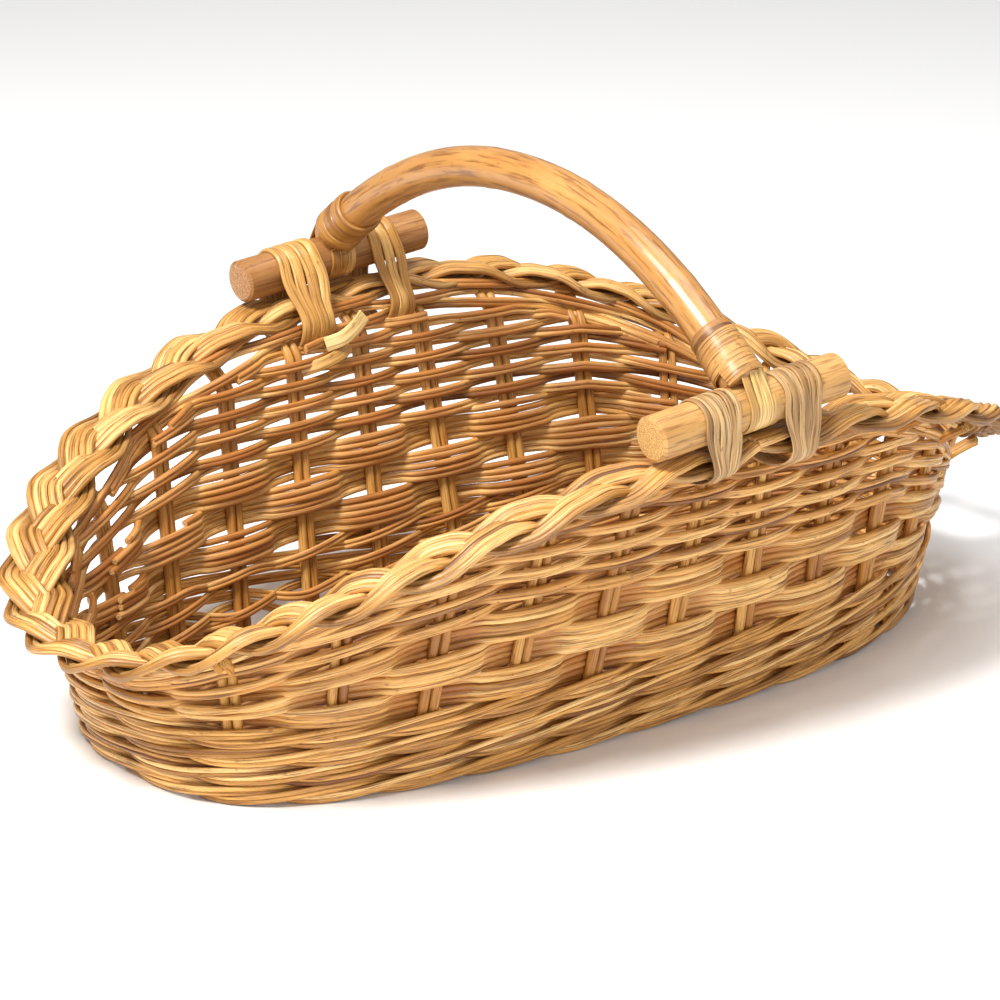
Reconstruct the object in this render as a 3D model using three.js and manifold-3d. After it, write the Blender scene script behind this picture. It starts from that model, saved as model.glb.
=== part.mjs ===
// Egg collection basket: a boat-shaped wicker basket with a fixed bent pole handle.
// Millimetres, +Z up. The origin is under the middle of the whole basket, on the surface it stands on.
// X runs along the basket, from its blunt end (-X) to its pointed end (+X).

import * as THREE from 'three';
import { mergeVertices } from 'three/addons/utils/BufferGeometryUtils.js';
import Module from 'manifold-3d';

const wasm = await Module();
wasm.setup();

// ---- driving dimensions ----

const GAP = 0.35;                 // clear space between touching pieces
const CHORD_GAP = 0.6;            // more of it where a straight facet spans a bend

// Rounded oblongs. bluntLength and pointedLength run from the middle to the -X and +X ends, and
// a higher power makes a squarer end.
const RIM = { bluntLength: 225, pointedLength: 214, halfWidth: 130, bluntPower: 2.16, pointedPower: 2.1 };
const BASE = { bluntLength: 203, pointedLength: 176, halfWidth: 88.5, bluntPower: 3, pointedPower: 2.3 };
const WALL_TOP = {
  bluntLength: 217, pointedLength: 198, halfWidth: 113, bluntPower: 2.36, pointedPower: 2.16,
};

const RIM_PEAK_X = 22;            // the rim is highest a little towards the pointed end
const RIM_HEIGHT_PEAK = 126.8;    // middle of the plaited border
const RIM_HEIGHT_BLUNT = 57;
const RIM_HEIGHT_POINTED = 60;
const RIM_FALL_BLUNT = 2.4;       // how late the rim falls away towards each end
const RIM_FALL_POINTED = 2;
const WALL_TOP_DROP = 10.5;       // wall top below the middle of the border
const MIDDLE_X = -5.5;            // middle of the whole basket, where the outlines meet at X = 0

const BASE_THICKNESS = 5;
const STAKE_COUNT = 26;
const STAKE_ROD_DIAMETER = 4;     // each stake is a pair of rods, side by side
const STAKE_FOOT_HEIGHT = 1;

const WALE_BOTTOM = 0.6;
const WALE_TOP = 33;
const WALE_ROWS_PER_BAND = 2;
const WALE_OUTER_THICKNESS = 4.6;
const WALE_INNER_THICKNESS = 3.2;

const SLEW_COURSES = 3;
const SLEW_HEIGHT = 38;           // all three courses together, beside the handle
const SLEW_SHARE = 0.54;          // of the wall above the wale, where the wall is low
const RAND_COURSE_HEIGHT = 15.4;
const RAND_LEAST_HEIGHT = 4;      // a side course ends where less than this is left
const WEAVE_THICKNESS = 3.4;
const WEAVE_SWING = 4.4;          // a course passes this far outside or inside the stakes
const STEPS_PER_STAKE = 3;

const PLAIT_STRANDS = 3;
const PLAIT_WAVES = 10;
const PLAIT_CROWDING = 0.14;      // the waves are this much closer at the two ends
const PLAIT_SWAY = 9.8;           // sideways, half of the full travel
const PLAIT_LIFT = 3.7;           // up and down, half of the full travel
const PLAIT_HALF_WIDTH = 3.4;
const PLAIT_HALF_THICKNESS = 1.9;
const PLAIT_STEPS_PER_WAVE = 8;

const DOWEL_DIAMETER = 18;
const DOWEL_LENGTH = 95;
const DOWEL_X = -11.5;
const DOWEL_Y = 132.5;
const DOWEL_Z = 142;
const DOWEL_TILT = THREE.MathUtils.degToRad(4.2);

const HANDLE_DIAMETER = 16.4;
const HANDLE_HALF_SPAN = 130.6;
const HANDLE_FOOT_Z = 151;
const HANDLE_TOP_Z = 204.4;
const HANDLE_POWER = 2.1;
const HANDLE_OVERRUN = 1.05;      // drawn past its feet, then cut to sit on the cane loops

const CANE_THICKNESS = 1.5;
const SLEEVE_FROM = 0.86;         // where the cane sleeve on each handle foot starts and ends,
const SLEEVE_TO = 0.985;          // as a share of the half span
const LOOP_RANGE = [-6, 12];      // along the dowel, from its middle
const LASHING_RANGES = [[-32, -10.5], [15, 35]];
const LASHING_CLEARANCE = 1.3;
const LASHING_THICKNESS = 2;

const COLOURS = {
  base: 0xa9743a,
  stake: 0xb9823f,
  wale: 0xc8924b,
  slew: 0xcf9a52,
  rand: 0xbd8646,
  plait: 0xd6a862,
  dowel: 0xd8ad6d,
  handle: 0xc98f4c,
  cane: 0xd9b67c,
};

// ---- the basket's surface ----

const TURN = 2 * Math.PI;

function signedPower(value, power) {
  return Math.sign(value) * Math.abs(value) ** power;
}

// A point of a rounded oblong. Angle 0 is its +X end, and angles run anticlockwise.
function oblongPoint(oblong, angle) {
  const towardsBlunt = (1 - Math.cos(angle)) / 2;
  const power = THREE.MathUtils.lerp(oblong.pointedPower, oblong.bluntPower, towardsBlunt);
  const halfLength = Math.cos(angle) < 0 ? oblong.bluntLength : oblong.pointedLength;
  const x = halfLength * signedPower(Math.cos(angle), 2 / power);
  const y = oblong.halfWidth * signedPower(Math.sin(angle), 2 / power);
  return new THREE.Vector2(x, y);
}

// The rim is high at the sides and falls away towards both ends.
function rimHeightAt(x) {
  const past = x - RIM_PEAK_X;
  const length = past < 0 ? RIM.bluntLength + RIM_PEAK_X : RIM.pointedLength - RIM_PEAK_X;
  const end = past < 0 ? RIM_HEIGHT_BLUNT : RIM_HEIGHT_POINTED;
  const towardsEnd = Math.abs(past / length) ** (past < 0 ? RIM_FALL_BLUNT : RIM_FALL_POINTED);
  return THREE.MathUtils.lerp(RIM_HEIGHT_PEAK, end, towardsEnd);
}

function rimHeight(angle) {
  return rimHeightAt(oblongPoint(RIM, angle).x);
}

function wallHeight(angle) {
  return rimHeight(angle) - WALL_TOP_DROP;
}

// The wall leans straight from the base outline to the wall-top outline.
function wallPoint(angle, z) {
  const share = z / wallHeight(angle);
  return oblongPoint(BASE, angle).lerp(oblongPoint(WALL_TOP, angle), share);
}

// Level unit vectors along the wall and straight out of it.
function directions(pointAt, angle) {
  const step = 0.004;
  const along = pointAt(angle + step).sub(pointAt(angle - step)).normalize();
  return { along, outward: new THREE.Vector2(along.y, -along.x) };
}

// Angles that lie evenly along a curve: shareToAngle(0) is the blunt end, and the shares
// run past the -Y side first.
function evenAngles(pointAt) {
  const samples = 1440;
  const lengths = [0];
  let last = pointAt(-Math.PI);
  for (let i = 1; i <= samples; i += 1) {
    const next = pointAt(-Math.PI + TURN * i / samples);
    lengths.push(lengths[i - 1] + next.distanceTo(last));
    last = next;
  }
  return function shareToAngle(share) {
    const whole = Math.floor(share);
    const target = (share - whole) * lengths[samples];
    let i = 1;
    while (lengths[i] < target) i += 1;
    const part = (target - lengths[i - 1]) / (lengths[i] - lengths[i - 1]);
    return -Math.PI + TURN * (whole + (i - 1 + part) / samples);
  };
}

const wallAngle = evenAngles((angle) => wallPoint(angle, 0.4 * wallHeight(angle)));
const rimAngle = evenAngles((angle) => oblongPoint(RIM, angle));

// Stake 0 stands half a space past the blunt end.
function stakeAngle(stake) {
  return wallAngle((stake + 0.5) / STAKE_COUNT);
}

function slewTop(angle) {
  const room = wallHeight(angle) - WALE_TOP;
  return WALE_TOP + Math.min(SLEW_HEIGHT, SLEW_SHARE * room);
}

// ---- closed solids ----

function signedVolume(positions, indices) {
  const a = new THREE.Vector3();
  const b = new THREE.Vector3();
  const c = new THREE.Vector3();
  let volume = 0;
  for (let i = 0; i < indices.length; i += 3) {
    a.fromArray(positions, 3 * indices[i]);
    b.fromArray(positions, 3 * indices[i + 1]);
    c.fromArray(positions, 3 * indices[i + 2]);
    volume += a.dot(b.cross(c)) / 6;
  }
  return volume;
}

function solidFrom(positions, indices) {
  if (signedVolume(positions, indices) < 0) indices.reverse();
  const geometry = new THREE.BufferGeometry();
  geometry.setAttribute('position', new THREE.Float32BufferAttribute(positions, 3));
  geometry.setIndex(indices);
  return geometry;
}

// Joins a row of convex sections, each a list of points, as a closed ring or with two end caps.
function loft(sections, closed) {
  const size = sections[0].length;
  const positions = sections.flat().flatMap((point) => point.toArray());
  const indices = [];
  const spans = closed ? sections.length : sections.length - 1;
  for (let i = 0; i < spans; i += 1) {
    const here = i * size;
    const there = ((i + 1) % sections.length) * size;
    for (let j = 0; j < size; j += 1) {
      const k = (j + 1) % size;
      indices.push(here + j, here + k, there + k);
      indices.push(here + j, there + k, there + j);
    }
  }
  if (!closed) {
    const lastRow = (sections.length - 1) * size;
    for (let j = 1; j < size - 1; j += 1) {
      indices.push(0, j + 1, j);
      indices.push(lastRow, lastRow + j, lastRow + j + 1);
    }
  }
  return solidFrom(positions, indices);
}

function toManifold(geometry) {
  const bare = geometry.clone();
  bare.deleteAttribute('normal');
  bare.deleteAttribute('uv');
  const merged = mergeVertices(bare, 1e-4);
  const vertProperties = new Float32Array(merged.attributes.position.array);
  const triVerts = new Uint32Array(merged.index.array);
  return new wasm.Manifold(new wasm.Mesh({ numProp: 3, vertProperties, triVerts }));
}

function fromManifold(solid) {
  const mesh = solid.getMesh();
  const geometry = new THREE.BufferGeometry();
  geometry.setAttribute('position', new THREE.BufferAttribute(mesh.vertProperties, 3));
  geometry.setIndex(new THREE.BufferAttribute(mesh.triVerts, 1));
  return geometry;
}

const basket = new THREE.Group();

function addPart(name, geometry, colour, roughness) {
  const material = new THREE.MeshStandardMaterial({ color: colour, roughness, metalness: 0 });
  const mesh = new THREE.Mesh(geometry, material);
  mesh.name = name;
  basket.add(mesh);
  return mesh;
}

// ---- base and stakes ----

function basePanel() {
  const inset = STAKE_ROD_DIAMETER / 2 + WALE_INNER_THICKNESS + 2 * GAP;
  const atFloor = (angle) => wallPoint(angle, 0);
  const outline = [];
  for (let i = 0; i < 2 * STAKE_COUNT; i += 1) {
    const angle = wallAngle(i / (2 * STAKE_COUNT));
    const { outward } = directions(atFloor, angle);
    outline.push(atFloor(angle).addScaledVector(outward, -inset));
  }
  const shape = new THREE.Shape(outline);
  return new THREE.ExtrudeGeometry(shape, { depth: BASE_THICKNESS, bevelEnabled: false });
}

// The outline of two round rods lying side by side, as [along, outward] steps.
function rodPairOutline() {
  const r = STAKE_ROD_DIAMETER / 2;
  const far = 2 * r;
  return [[far, 0], [r * 1.5, r * 0.87], [r * 0.5, r * 0.87], [-r * 0.5, r * 0.87], [-r * 1.5, r * 0.87],
    [-far, 0], [-r * 1.5, -r * 0.87], [-r * 0.5, -r * 0.87], [r * 0.5, -r * 0.87], [r * 1.5, -r * 0.87]];
}

function stake(index) {
  const angle = stakeAngle(index);
  const top = wallHeight(angle) - 1;
  const middle = directions((a) => wallPoint(a, top / 2), angle);
  const sections = [STAKE_FOOT_HEIGHT, top].map((z) => {
    const foot = wallPoint(angle, z);
    return rodPairOutline().map(([along, outward]) => {
      const spot = foot.clone().addScaledVector(middle.along, along).addScaledVector(middle.outward, outward);
      return new THREE.Vector3(spot.x, spot.y, z);
    });
  });
  return loft(sections, false);
}

// ---- the woven wall ----

// One upright section of a band: outline is a list of [outward, z] points.
function wallSection(angle, outline) {
  return outline.map(([outwardBy, z]) => {
    const { outward } = directions((a) => wallPoint(a, z), angle);
    const spot = wallPoint(angle, z).addScaledVector(outward, outwardBy);
    return new THREE.Vector3(spot.x, spot.y, z);
  });
}

function wallRing(outline) {
  const sections = [];
  for (let i = 0; i < 2 * STAKE_COUNT; i += 1) {
    sections.push(wallSection(wallAngle(i / (2 * STAKE_COUNT)), outline));
  }
  return loft(sections, true);
}

// The floats outside the stakes: a band of rounded rows.
function waleOuter(firstRow) {
  const pitch = (WALE_TOP - WALE_BOTTOM) / (2 * WALE_ROWS_PER_BAND);
  const bottom = WALE_BOTTOM + firstRow * pitch;
  const top = bottom + WALE_ROWS_PER_BAND * pitch - GAP;
  const near = STAKE_ROD_DIAMETER / 2 + GAP + CHORD_GAP;
  const valley = near + 0.55 * WALE_OUTER_THICKNESS;
  const outline = [[near, bottom]];
  for (let row = 0; row < WALE_ROWS_PER_BAND; row += 1) {
    outline.push([valley, bottom + row * pitch + 0.1]);
    outline.push([near + WALE_OUTER_THICKNESS, bottom + (row + 0.5) * pitch]);
  }
  outline.push([valley, top], [near, top]);
  return wallRing(outline);
}

// The part of the wale that runs inside the stakes.
function waleInner() {
  const near = -STAKE_ROD_DIAMETER / 2 - GAP;
  const far = near - WALE_INNER_THICKNESS;
  const top = WALE_TOP - GAP;
  return wallRing([[near, WALE_BOTTOM], [near, top], [far, top - 1], [far, WALE_BOTTOM + 1]]);
}

// A course that goes over one stake and under the next. phase 0 is outside the even stakes.
function weaveSection(station, phase, low, high) {
  const angle = stakeAngle(station);
  const offset = WEAVE_SWING * Math.cos(Math.PI * (station + phase));
  const half = WEAVE_THICKNESS / 2;
  const bottom = low(angle);
  const top = high(angle);
  const round = Math.min(2, (top - bottom) / 3);
  return wallSection(angle, [
    [offset - half, bottom + round], [offset, bottom], [offset + half, bottom + round],
    [offset + half, top - round], [offset, top], [offset - half, top - round],
  ]);
}

function ringCourse(phase, low, high) {
  const sections = [];
  for (let i = 0; i < STAKE_COUNT * STEPS_PER_STAKE; i += 1) {
    sections.push(weaveSection(i / STEPS_PER_STAKE, phase, low, high));
  }
  return loft(sections, true);
}

// The same between two stations, wherever the course is tall enough to be there.
function sideCourse(phase, low, high, fromStation, toStation) {
  const sections = [];
  for (let i = fromStation * STEPS_PER_STAKE; i <= toStation * STEPS_PER_STAKE; i += 1) {
    const station = i / STEPS_PER_STAKE;
    const angle = stakeAngle(station);
    if (high(angle) - low(angle) >= RAND_LEAST_HEIGHT) {
      sections.push(weaveSection(station, phase, low, high));
    }
  }
  return loft(sections, false);
}

function slewCourse(course) {
  const heightOf = (angle) => (slewTop(angle) - WALE_TOP) / SLEW_COURSES;
  const low = (angle) => WALE_TOP + course * heightOf(angle) + GAP / 2;
  const high = (angle) => WALE_TOP + (course + 1) * heightOf(angle) - GAP / 2;
  return ringCourse(course % 2, low, high);
}

function randLow(course) {
  return (angle) => slewTop(angle) + course * RAND_COURSE_HEIGHT + GAP / 2;
}

function randHigh(course) {
  return (angle) => Math.min(slewTop(angle) + (course + 1) * RAND_COURSE_HEIGHT, wallHeight(angle)) - GAP / 2;
}

// ---- the plaited border ----

function clampedWave(value) {
  return THREE.MathUtils.clamp(2.4 * value, -1, 1);
}

function plaitPoint(share, strand) {
  const angle = rimAngle(share);
  const centre = oblongPoint(RIM, angle);
  const { outward } = directions((a) => oblongPoint(RIM, a), angle);
  const crowded = PLAIT_CROWDING * Math.sin(2 * TURN * share) / (2 * TURN);
  const swing = TURN * (PLAIT_WAVES * (share + crowded) + strand / PLAIT_STRANDS);
  const spot = centre.addScaledVector(outward, PLAIT_SWAY * Math.sin(swing));
  const z = rimHeight(angle) + PLAIT_LIFT * clampedWave(-Math.sin(2 * swing));
  return new THREE.Vector3(spot.x, spot.y, z);
}

function plaitStrand(strand) {
  const count = PLAIT_WAVES * PLAIT_STEPS_PER_WAVE;
  const sections = [];
  for (let i = 0; i < count; i += 1) {
    const share = i / count;
    const here = plaitPoint(share, strand);
    const before = plaitPoint(share - 0.2 / count, strand);
    const after = plaitPoint(share + 0.2 / count, strand);
    const along = after.sub(before).normalize();
    const across = new THREE.Vector3(along.y, -along.x, 0).normalize();
    const up = across.clone().cross(along).normalize();
    const outline = [[1, 0], [0.55, 1], [-0.55, 1], [-1, 0], [-0.55, -1], [0.55, -1]];
    sections.push(outline.map(([w, h]) => here.clone()
      .addScaledVector(across, w * PLAIT_HALF_WIDTH)
      .addScaledVector(up, h * PLAIT_HALF_THICKNESS)));
  }
  return loft(sections, true);
}

// ---- dowels, handle and cane ----

function placeOnDowel(mesh, side) {
  mesh.position.set(DOWEL_X, side * DOWEL_Y, DOWEL_Z);
  mesh.rotation.y = -DOWEL_TILT;
  return mesh;
}

function dowelGeometry() {
  const bevel = 0.8;
  const radius = DOWEL_DIAMETER / 2;
  const half = DOWEL_LENGTH / 2;
  const profile = [[0, -half], [radius - bevel, -half], [radius, -half + bevel],
    [radius, half - bevel], [radius - bevel, half], [0, half]];
  const points = profile.map(([r, y]) => new THREE.Vector2(r, y));
  return new THREE.LatheGeometry(points, 20).rotateZ(-Math.PI / 2);
}

function handlePoint(share) {
  const rise = (HANDLE_TOP_Z - HANDLE_FOOT_Z) * (1 - Math.abs(share) ** HANDLE_POWER);
  return new THREE.Vector3(DOWEL_X, share * HANDLE_HALF_SPAN, HANDLE_FOOT_Z + rise);
}

// A round-sectioned tube along the handle's arch, or a sleeve around it if inner is given.
function handleTube(fromShare, toShare, steps, outer, inner) {
  const points = [];
  for (let i = 0; i <= steps; i += 1) {
    points.push(handlePoint(fromShare + (toShare - fromShare) * i / steps));
  }
  const shape = new THREE.Shape().absarc(0, 0, outer, 0, TURN);
  if (inner) shape.holes.push(new THREE.Path().absarc(0, 0, inner, 0, TURN, true));
  const extrudePath = new THREE.CatmullRomCurve3(points);
  return new THREE.ExtrudeGeometry(shape, { extrudePath, steps, curveSegments: 8 });
}

// What a handle foot has to clear: the dowel with its cane loop.
function footCutter(side) {
  const radius = DOWEL_DIAMETER / 2 + CANE_THICKNESS + 2 * GAP;
  const cutter = new THREE.CylinderGeometry(radius, radius, DOWEL_LENGTH, 32).rotateZ(Math.PI / 2);
  const placed = placeOnDowel(new THREE.Mesh(cutter), side);
  placed.updateMatrixWorld();
  return toManifold(cutter.applyMatrix4(placed.matrixWorld));
}

// Everything of a foot that lies below the dowel's middle is cut away too.
function belowFootCutter(side) {
  const block = new THREE.BoxGeometry(60, 60, 30);
  block.translate(DOWEL_X, side * (DOWEL_Y + 12), DOWEL_Z - 15);
  return toManifold(block);
}

function handlePole() {
  let solid = toManifold(handleTube(-HANDLE_OVERRUN, HANDLE_OVERRUN, 24, HANDLE_DIAMETER / 2));
  for (const side of [-1, 1]) {
    solid = solid.subtract(footCutter(side)).subtract(belowFootCutter(side));
  }
  return fromManifold(solid);
}

function handleSleeve(side) {
  const inner = HANDLE_DIAMETER / 2 + GAP;
  const tube = handleTube(side * SLEEVE_FROM, side * SLEEVE_TO, 4, inner + CANE_THICKNESS, inner);
  return fromManifold(toManifold(tube).subtract(footCutter(side)));
}

function extrudeAlongX(shape, range) {
  const depth = range[1] - range[0];
  const geometry = new THREE.ExtrudeGeometry(shape, { depth, bevelEnabled: false, curveSegments: 10 });
  return geometry.rotateX(Math.PI / 2).rotateZ(Math.PI / 2).translate(range[0], 0, 0);
}

function caneLoop() {
  const inner = DOWEL_DIAMETER / 2 + GAP;
  const shape = new THREE.Shape().absarc(0, 0, inner + CANE_THICKNESS, 0, TURN);
  shape.holes.push(new THREE.Path().absarc(0, 0, inner, 0, TURN, true));
  return extrudeAlongX(shape, LOOP_RANGE);
}

// Around the dowel and the border under it at one x, measured from the dowel's middle:
// y outward, z up.
function lashingOutline(x, clearance, side) {
  const radius = DOWEL_DIAMETER / 2 + clearance;
  const dowelRise = x * Math.tan(DOWEL_TILT);
  const border = rimHeightAt(DOWEL_X + x) - DOWEL_Z;
  const thickness = PLAIT_LIFT + PLAIT_HALF_THICKNESS;
  const borderBottom = border - thickness - clearance;
  const corner = 1.5;
  const inner = RIM.halfWidth - DOWEL_Y - PLAIT_SWAY - PLAIT_HALF_WIDTH - clearance;
  const outer = RIM.halfWidth - DOWEL_Y + PLAIT_SWAY + PLAIT_HALF_WIDTH + clearance;
  const points = [];
  const arcSteps = 10;
  for (let i = 0; i <= arcSteps; i += 1) {
    const angle = Math.PI * i / arcSteps;
    points.push([radius * Math.cos(angle), dowelRise + radius * Math.sin(angle)]);
  }
  points.push([inner, border + thickness], [inner, borderBottom + corner]);
  points.push([inner + corner, borderBottom], [outer - corner, borderBottom]);
  points.push([outer, borderBottom + corner], [outer, border + thickness]);
  return points.map(([y, z]) => new THREE.Vector2(side * y, z));
}

function lashing(range, side) {
  const x = (range[0] + range[1]) / 2;
  const shape = new THREE.Shape(lashingOutline(x, LASHING_CLEARANCE + LASHING_THICKNESS, side));
  shape.holes.push(new THREE.Path(lashingOutline(x, LASHING_CLEARANCE, side).reverse()));
  return extrudeAlongX(shape, range);
}

// ---- assembly ----

addPart('base_panel', basePanel(), COLOURS.base, 0.8);

for (let i = 0; i < STAKE_COUNT; i += 1) {
  addPart(`stake_${i + 1}`, stake(i), COLOURS.stake, 0.7);
}

addPart('wale_outer_lower', waleOuter(0), COLOURS.wale, 0.6);
addPart('wale_outer_upper', waleOuter(WALE_ROWS_PER_BAND), COLOURS.wale, 0.6);
addPart('wale_inner', waleInner(), COLOURS.wale, 0.6);

for (let course = 0; course < SLEW_COURSES; course += 1) {
  addPart(`slew_course_${course + 1}`, slewCourse(course), COLOURS.slew, 0.6);
}

addPart('rand_course_1', ringCourse(SLEW_COURSES % 2, randLow(0), randHigh(0)), COLOURS.rand, 0.65);
for (const course of [1, 2]) {
  const half = STAKE_COUNT / 2;
  const front = sideCourse((SLEW_COURSES + course) % 2, randLow(course), randHigh(course), 0, half - 1);
  const back = sideCourse((SLEW_COURSES + course) % 2, randLow(course), randHigh(course), half, 2 * half - 1);
  addPart(`rand_course_${course + 1}_front`, front, COLOURS.rand, 0.65);
  addPart(`rand_course_${course + 1}_back`, back, COLOURS.rand, 0.65);
}

for (let strand = 0; strand < PLAIT_STRANDS; strand += 1) {
  addPart(`border_strand_${strand + 1}`, plaitStrand(strand), COLOURS.plait, 0.55);
}

addPart('handle_pole', handlePole(), COLOURS.handle, 0.4);

for (const [label, side] of [['front', -1], ['back', 1]]) {
  placeOnDowel(addPart(`dowel_${label}`, dowelGeometry(), COLOURS.dowel, 0.6), side);
  addPart(`handle_sleeve_${label}`, handleSleeve(side), COLOURS.cane, 0.6);
  placeOnDowel(addPart(`cane_loop_${label}`, caneLoop(), COLOURS.cane, 0.6), side);
  LASHING_RANGES.forEach((range, i) => {
    const band = addPart(`lashing_${label}_${i + 1}`, lashing(range, side), COLOURS.cane, 0.6);
    band.position.set(DOWEL_X, side * DOWEL_Y, DOWEL_Z);
  });
}

basket.position.x = -MIDDLE_X;

export default basket;
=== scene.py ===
"""The looks of the egg collection basket: every rod of the wicker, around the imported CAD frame."""
import math

import bpy
import numpy as np
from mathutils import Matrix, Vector


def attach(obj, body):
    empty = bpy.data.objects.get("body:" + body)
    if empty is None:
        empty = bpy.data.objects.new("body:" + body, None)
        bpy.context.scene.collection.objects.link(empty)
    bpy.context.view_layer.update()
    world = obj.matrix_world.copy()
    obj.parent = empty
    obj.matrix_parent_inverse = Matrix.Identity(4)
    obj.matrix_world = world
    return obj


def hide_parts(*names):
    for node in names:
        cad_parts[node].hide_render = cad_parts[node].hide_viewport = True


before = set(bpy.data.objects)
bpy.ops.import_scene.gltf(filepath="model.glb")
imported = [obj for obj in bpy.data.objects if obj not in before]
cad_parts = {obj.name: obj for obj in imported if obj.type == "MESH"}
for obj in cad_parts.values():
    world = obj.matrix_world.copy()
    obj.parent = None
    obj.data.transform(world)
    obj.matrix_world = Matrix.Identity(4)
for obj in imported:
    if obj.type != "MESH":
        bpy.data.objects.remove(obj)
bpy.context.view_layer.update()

# ---- dimensions, in millimetres ----

# The rim, the base's outline, the dowels and the handle are as in the CAD. The weave is finer, and
# the wall's top is 7 mm shorter at the pointed end.

MM = 0.001

# Rounded oblongs. The lengths run from the middle to the -X and +X ends, and a higher power
# makes a squarer end.
RIM = {"blunt_length": 225, "pointed_length": 214, "half_width": 130,
       "blunt_power": 2.16, "pointed_power": 2.1}
BASE = {"blunt_length": 203, "pointed_length": 176, "half_width": 88.5,
        "blunt_power": 3, "pointed_power": 2.3}
WALL_TOP = {"blunt_length": 217, "pointed_length": 191, "half_width": 113,
            "blunt_power": 2.36, "pointed_power": 2.16}
ORIGIN_SHIFT = 5.5                # every piece moves this far in X, to centre the basket

RIM_PEAK_X = 22
RIM_HEIGHT_PEAK = 126.8
RIM_HEIGHT_BLUNT = 57
RIM_HEIGHT_POINTED = 60
RIM_FALL_BLUNT = 2.4              # a higher power keeps the rim high for longer
RIM_FALL_POINTED = 2
WALL_TOP_DROP = 10.5              # from the middle of the border to the wall's top

# Places along the wall are given as stations: station n is at stake n.
STAKE_COUNT = 26
STAKE_RADIUS = 2.0
STAKE_SPACING = 4.2               # between the two rods of a stake
STAKE_FOOT_Z = 1.0
STAKE_BEND_DROP = 5               # a stake turns out this far below the wall's top
STAKE_ARM_OUT = 15
STAKE_ARM_UP = 11.5
STAKE_WALL_STEPS = 34
STAKE_ARM_STEPS = 8

WALE_BOTTOM = 0.6
WALE_TOP = 33
WALE_ROWS = 4
WALE_STRANDS = 3                  # each passes outside two stakes and behind one
WALE_START = 20                   # the station where the first strand starts
WALE_RADIUS = 1.04                # a strand is two of these rods
WALE_SPACING = 1.86
WALE_REACH = 3.3                  # how far outside or inside the stakes' line a strand passes
WALE_BULGE = 0.7                  # and how much further out it bows between two stakes
WALE_RISE = 2.03                  # a float starts this far below its row and ends as far above
WALE_FLOOR_GAP = 0.2

SLEW_COURSES = 3
SLEW_HEIGHT = 38                  # of all courses, where the wall is high enough
SLEW_SHARE = 0.54                 # and their share of the wall where it's low
SLEW_RODS = 5
SLEW_RADIUS = 1.5
SLEW_REACH = 3.0
SLEW_BULGE = 0.7                  # the middle rods of a course stand out this much more
SLEW_STARTS = (22.8, 23.8, 22.8)  # the stations where the courses are joined
SLEW_OVERLAP = 0.45               # stations by which a course runs past its own start
SLEW_TUCK = 2.6                   # and how far inside its start it then lies

RAND_ROWS = 13
RAND_START = 14                   # the station where every other row starts
RAND_PITCH = 4.1
RAND_RADIUS = 1.3                 # a row is two of these rods
RAND_SPACING = 1.8
RAND_REACH = 3.0
RAND_TOP_GAP = 2
RIM_ROW_START = 12.5
RIM_ROW_RISES = (0.6, 4.4, 7.6)   # rows along the wall's top, this far above it
RIM_ROW_END_X = 130               # they sink back into the wall over 50 mm from here
RIM_ROW_FADE = 50
LOOSE_END_STATION = 12.05         # rows that end outside the wall, with their butts showing
LOOSE_END_HEIGHTS = (46.5, 50.8, 55.2, 59.4, 64.0)
LOOSE_END_STATIONS = 1.2
LOOSE_END_OUT = 8.0

PLAIT_STRANDS = 3
PLAIT_WAVES = 12
PLAIT_STEPS = 60                  # for each wave
PLAIT_CROWDING = 0.3              # the waves are closer at the two ends of the basket
PLAIT_START = 0.245               # under the first lashing of the front dowel
PLAIT_RODS = 5
PLAIT_ROD_RADIUS = 1.54
PLAIT_ROD_SPACING = 2.95
PLAIT_ROD_SAG = 0.16              # the outer rods of a strand lie lower than its middle one
PLAIT_SWAY = 7.2
PLAIT_LIFT = 2.9
PLAIT_SQUEEZE = 0.24              # narrower by this share where the lashings hold it
PLAIT_SQUEEZE_LENGTH = 40
PLAIT_TIP_SQUEEZE = 0.45          # and by this share at the pointed end
PLAIT_TIP_LENGTH = 16
PLAIT_BLUNT_OUT = 3               # further out at the blunt end
PLAIT_BLUNT_LENGTH = 60

BASE_MARGIN = 0.955               # the sticks and weavers end at this share of the outline
BASE_STICK_RADIUS = 1.8
BASE_STICK_PITCH = 25
BASE_STICK_FIRST = 14             # from the blunt end
BASE_STICK_LAST = 6               # and at least this far from the pointed end
BASE_WEAVER_RADIUS = 1.3
BASE_WEAVER_PITCH = 3.1
BASE_WEAVER_LIFT = 1.9
BASE_WEAVER_STEP = 2.2
BASE_MIDDLE_Z = 3.5
BASE_RINGS = ((0.965, 3.0), (0.94, 5.4))  # share of the outline, and height

DOWEL_RADIUS = 9
DOWEL_LENGTH = 95
DOWEL_X = -11.5
DOWEL_Y = 132.5
DOWEL_Z = 142
DOWEL_TILT = math.radians(4.2)

HANDLE_RADIUS = 8.2
HANDLE_HALF_SPAN = 130.6
HANDLE_FOOT_Z = 151
HANDLE_TOP_Z = 204.4
HANDLE_POWER = 2.1
HANDLE_STEPS = 260
HANDLE_NODES = (38, 97, 150, 214)  # the pole's own swollen joints, in those steps
HANDLE_NODE_SWELL = 0.02

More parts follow.
